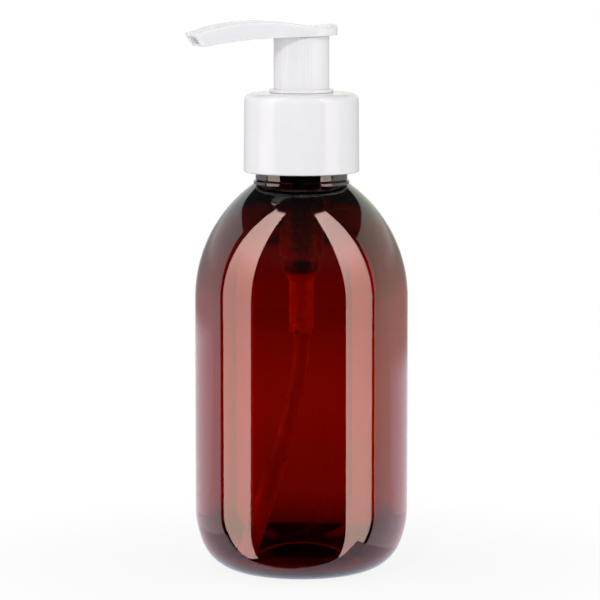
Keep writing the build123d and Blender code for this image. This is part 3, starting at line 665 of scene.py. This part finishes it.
farRight = product(tree, spread(tree, bearing, *w["farSpan"], *w["farShare"]), aboveFoot)
backTint = mixColor(tree, farRight, w["backTint"], w["farTint"])
tint = mixColor(tree, inBox, backTint, boxTint)
tree.links.new(mixColor(tree, rays["Is Glossy Ray"], white, tint), sky.inputs["Color"])
tree.links.new(level, sky.inputs["Strength"])


# Material with nothing on its surface yet; returns its nodes
def bareMaterial(name, mesh):
    material = bpy.data.materials.new(name)
    material.use_nodes = True
    material.node_tree.nodes.remove(material.node_tree.nodes["Principled BSDF"])
    mesh.materials.append(material)
    return material.node_tree


# Surface that is shader a where share is 0 and shader b where it is 1
def blendSurface(tree, share, a, b):
    blend = addNode(tree, "ShaderNodeMixShader", {"Fac": share, 1: a.outputs[0], 2: b.outputs[0]})
    tree.links.new(blend.outputs["Shader"], tree.nodes["Material Output"].inputs["Surface"])


# Place on a staged flat piece and how far it lies from the origin
def placeAndReach(tree):
    place = addNode(tree, "ShaderNodeTexCoord").outputs["Object"]
    return place, addNode(tree, "ShaderNodeVectorMath", {0: place}, operation="LENGTH").outputs["Value"]


# Floor: white to the eye with the object's soft shadow left in it, fading to plain white further off
floorLook = {"size": 4.0, "below": 0.02, "shadowShare": 0.12, "fade": (0.04, 0.14),
             "tone": (0.9, 0.9, 0.9, 1)}
square = np.array([(-1, -1), (1, -1), (1, 1), (-1, 1)])
mesh = bpy.data.meshes.new("floor")
corners = square * floorLook["size"] / 2
mesh.from_pydata(np.hstack([corners, np.full((4, 1), -floorLook["below"] * mm)]).tolist(), [], [(0, 1, 2, 3)])
floor = bpy.data.objects.new("floor", mesh)
floor.visible_glossy = False
floor.visible_transmission = False
scene.collection.objects.link(floor)
tree = bareMaterial("floorMatt", mesh)
_, reach = placeAndReach(tree)
clear = spread(tree, reach, *floorLook["fade"], 1 - floorLook["shadowShare"], 1.0)
toEye = product(tree, addNode(tree, "ShaderNodeLightPath").outputs["Is Camera Ray"], clear)
blendSurface(tree, toEye, addNode(tree, "ShaderNodeBsdfDiffuse", {"Color": floorLook["tone"]}),
             addNode(tree, "ShaderNodeEmission"))

# Two cards seen only in reflections stand for the white ground: its near end under the bottle, and the rest
# of it behind and beside the bottle, which ends softly further off on the left than on the right
cardLook = {"left": -55.0, "right": 37.0, "near": 27.7, "slant": 0.166, "far": -60.0, "level": 0.95,
            "tint": (0.95, 0.97, 1.1, 1)}
topLook = {"half": 0.8, "below": 0.01, "start": (0.09, 0.108), "leftEnd": 0.6, "rightEnd": 0.475,
           "across": 0.2, "soft": 0.07, "bearings": (100.0, 112.0), "level": (1.48, 0.89),
           "levelSpan": (100.0, 180.0), "tint": (1.0, 1.0, 1.08, 1)}


# Card from corners given as steps to the right and toward the camera; returns its material's nodes
def glowCard(name, corners, height):
    mesh = bpy.data.meshes.new(name)
    up = Vector((0, 0, height))
    points = [tuple(toRight * side + toCamera * reach + up) for side, reach in corners]
    mesh.from_pydata(points, [], [(0, 1, 2, 3)])
    card = bpy.data.objects.new(name, mesh)
    for ray in ("camera", "diffuse", "transmission", "volume_scatter", "shadow"):
        setattr(card, "visible_" + ray, False)
    scene.collection.objects.link(card)
    tree = bareMaterial(name, mesh)
    return tree


left, right = cardLook["left"], cardLook["right"]
edge = [(side, cardLook["near"] + cardLook["slant"] * side) for side in (right, left)]
tree = glowCard("tableEnd", np.array([(left, cardLook["far"]), (right, cardLook["far"])] + edge) * mm, 0.0)
glow = addNode(tree, "ShaderNodeEmission", {"Color": cardLook["tint"], "Strength": cardLook["level"]})
tree.links.new(glow.outputs["Emission"], tree.nodes["Material Output"].inputs["Surface"])

tree = glowCard("tableTop", square * topLook["half"], -topLook["below"] * mm)
place, reach = placeAndReach(tree)
ahead, aside, bearing = compass(tree, place)
swing = mathNode(tree, "ABSOLUTE", bearing)
end = spread(tree, aside, -topLook["across"], topLook["across"], topLook["leftEnd"], topLook["rightEnd"])
pastEnd = mathNode(tree, "SUBTRACT", reach, end)
seen = product(tree, spread(tree, pastEnd, -topLook["soft"], topLook["soft"], 1.0, 0.0),
               spread(tree, swing, *topLook["bearings"], 0.0, 1.0),
               spread(tree, reach, *topLook["start"], 0.0, 1.0))
topLevel = spread(tree, swing, *topLook["levelSpan"], *topLook["level"])
blendSurface(tree, seen, addNode(tree, "ShaderNodeBsdfTransparent"),
             addNode(tree, "ShaderNodeEmission", {"Color": topLook["tint"], "Strength": topLevel}))
print("camera, light and floor set")

scene.view_settings.view_transform = "Standard"
